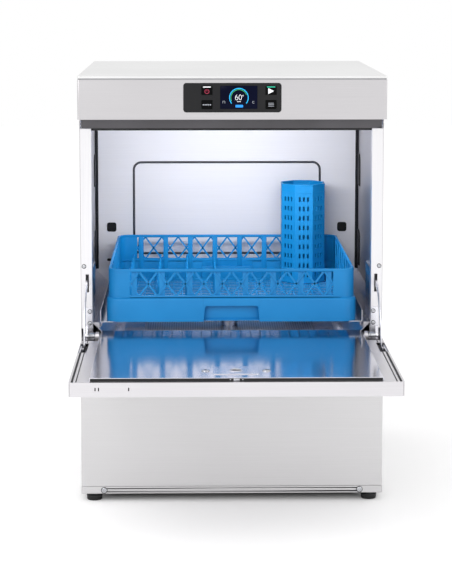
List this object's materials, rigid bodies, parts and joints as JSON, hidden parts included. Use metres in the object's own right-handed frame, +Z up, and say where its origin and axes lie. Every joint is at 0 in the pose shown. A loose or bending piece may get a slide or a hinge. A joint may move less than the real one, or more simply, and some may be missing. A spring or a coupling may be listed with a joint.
{
  "type": "commercial dishwasher",
  "caption": "Undercounter dishwasher: steel cabinet, wash tub with spinning spray arms, drop-down door on stay arms, sliding blue rack, control panel with keys.",
  "frame": {"origin": "on the floor, in the middle of the footprint of the cabinet with its door open", "axes": "+Z up, front faces -Y, +X to the right seen from the front"},
  "size_m": [0.6, 1.011, 0.85],
  "materials": {
    "satin_steel": "fine vertical grain",
    "polished_steel": "bright rolled",
    "zinc_hardware": "plated",
    "black_rubber": "matte",
    "dark_trim": "satin",
    "black_panel": "semi gloss",
    "key_plastic": "semi gloss",
    "display_glass": "gloss over a lit picture",
    "circuit_board": "lacquered",
    "blue_plastic": "moulded satin",
    "pump_plastic": "glass filled",
    "motor_paint": "cast",
    "heater_metal": "oxidised",
    "valve_plastic": "moulded"
  },
  "bodies": {
    "cabinet": {"base_frame": "satin_steel", "levelling_feet": "black_rubber", "plinth_strip": "satin_steel", "plinth_screws": "zinc_hardware", "lower_front_panel": "satin_steel", "side_panel_left": "satin_steel", "side_panel_right": "satin_steel", "rear_panel": "satin_steel", "front_post_left": "satin_steel", "front_post_right": "satin_steel", "header_rail": "dark_trim", "tub_seals": "black_rubber", "top_cover": "satin_steel", "control_fascia": "satin_steel", "control_bezel": "black_panel", "display": "display_glass", "control_board": "circuit_board", "tub_back_wall": "polished_steel", "tub_ceiling": "polished_steel", "tub_basin": "polished_steel", "wash_tank": "polished_steel", "wall_plugs": "black_rubber", "wall_buffers": "black_rubber", "surface_filters": "polished_steel", "suction_filter": "polished_steel", "rack_rail_left": "polished_steel", "rack_rail_right": "polished_steel", "stay_housings": "polished_steel", "hinge_plates": "polished_steel", "hinge_screws": "zinc_hardware", "hinge_pins": "zinc_hardware", "hinge_springs": "zinc_hardware", "lower_spindle": "polished_steel", "upper_spindle": "polished_steel", "wash_pump_housing": "pump_plastic", "wash_pump_motor": "motor_paint", "wash_riser": "polished_steel", "drain_pump": "pump_plastic", "boiler": "polished_steel", "boiler_heater": "heater_metal", "inlet_valve": "valve_plastic", "cable_gland": "pump_plastic"},
    "door": {"door_outer_panel": "satin_steel", "door_inner_panel": "polished_steel", "door_seal": "black_rubber", "latch_plate": "polished_steel", "door_screws": "zinc_hardware", "stay_arms": "polished_steel", "stay_brackets": "polished_steel"},
    "rack": {"dish_rack": "blue_plastic", "cutlery_cup": "blue_plastic"},
    "lower_wash_arm": {"lower_wash_arm": "polished_steel"},
    "upper_wash_arm": {"upper_wash_arm": "polished_steel"},
    "lower_rinse_arm": {"lower_rinse_arm": "polished_steel"},
    "upper_rinse_arm": {"upper_rinse_arm": "polished_steel"},
    "power_key": {"button_power": "key_plastic"},
    "program_key": {"button_program": "key_plastic"},
    "start_key": {"button_start": "key_plastic"},
    "menu_key": {"button_menu": "key_plastic"},
    "pump_rotor": {"wash_pump_impeller": "pump_plastic"}
  },
  "joints": [
    {"name": "door_hinge", "type": "hinge", "parent": "cabinet", "child": "door", "pos_m": [0, -0.0725, 0.33], "axis": [-1, 0, 0], "range_deg": [0, 90]},
    {"name": "rack_slide", "type": "slide", "parent": "cabinet", "child": "rack", "axis": [0, 1, 0], "range_m": [-0.409, 0]},
    {"name": "lower_wash_arm_spin", "type": "hinge", "parent": "cabinet", "child": "lower_wash_arm", "pos_m": [0, 0.205, 0.318], "axis": [0, 0, 1], "continuous": true},
    {"name": "upper_wash_arm_spin", "type": "hinge", "parent": "cabinet", "child": "upper_wash_arm", "pos_m": [0, 0.205, 0.748], "axis": [0, 0, 1], "continuous": true},
    {"name": "lower_rinse_arm_spin", "type": "hinge", "parent": "cabinet", "child": "lower_rinse_arm", "pos_m": [0, 0.205, 0.336], "axis": [0, 0, 1], "continuous": true},
    {"name": "upper_rinse_arm_spin", "type": "hinge", "parent": "cabinet", "child": "upper_rinse_arm", "pos_m": [0, 0.205, 0.731], "axis": [0, 0, 1], "continuous": true},
    {"name": "power_key_press", "type": "slide", "parent": "cabinet", "child": "power_key", "axis": [0, 1, 0], "range_m": [0, 0.0008], "stiffness_N_per_m": 600},
    {"name": "program_key_press", "type": "slide", "parent": "cabinet", "child": "program_key", "axis": [0, 1, 0], "range_m": [0, 0.0008], "stiffness_N_per_m": 600},
    {"name": "start_key_press", "type": "slide", "parent": "cabinet", "child": "start_key", "axis": [0, 1, 0], "range_m": [0, 0.0008], "stiffness_N_per_m": 600},
    {"name": "menu_key_press", "type": "slide", "parent": "cabinet", "child": "menu_key", "axis": [0, 1, 0], "range_m": [0, 0.0008], "stiffness_N_per_m": 600},
    {"name": "pump_spin", "type": "hinge", "parent": "cabinet", "child": "pump_rotor", "pos_m": [0.12, 0.215, 0.1], "axis": [1, 0, 0], "continuous": true}
  ]
}
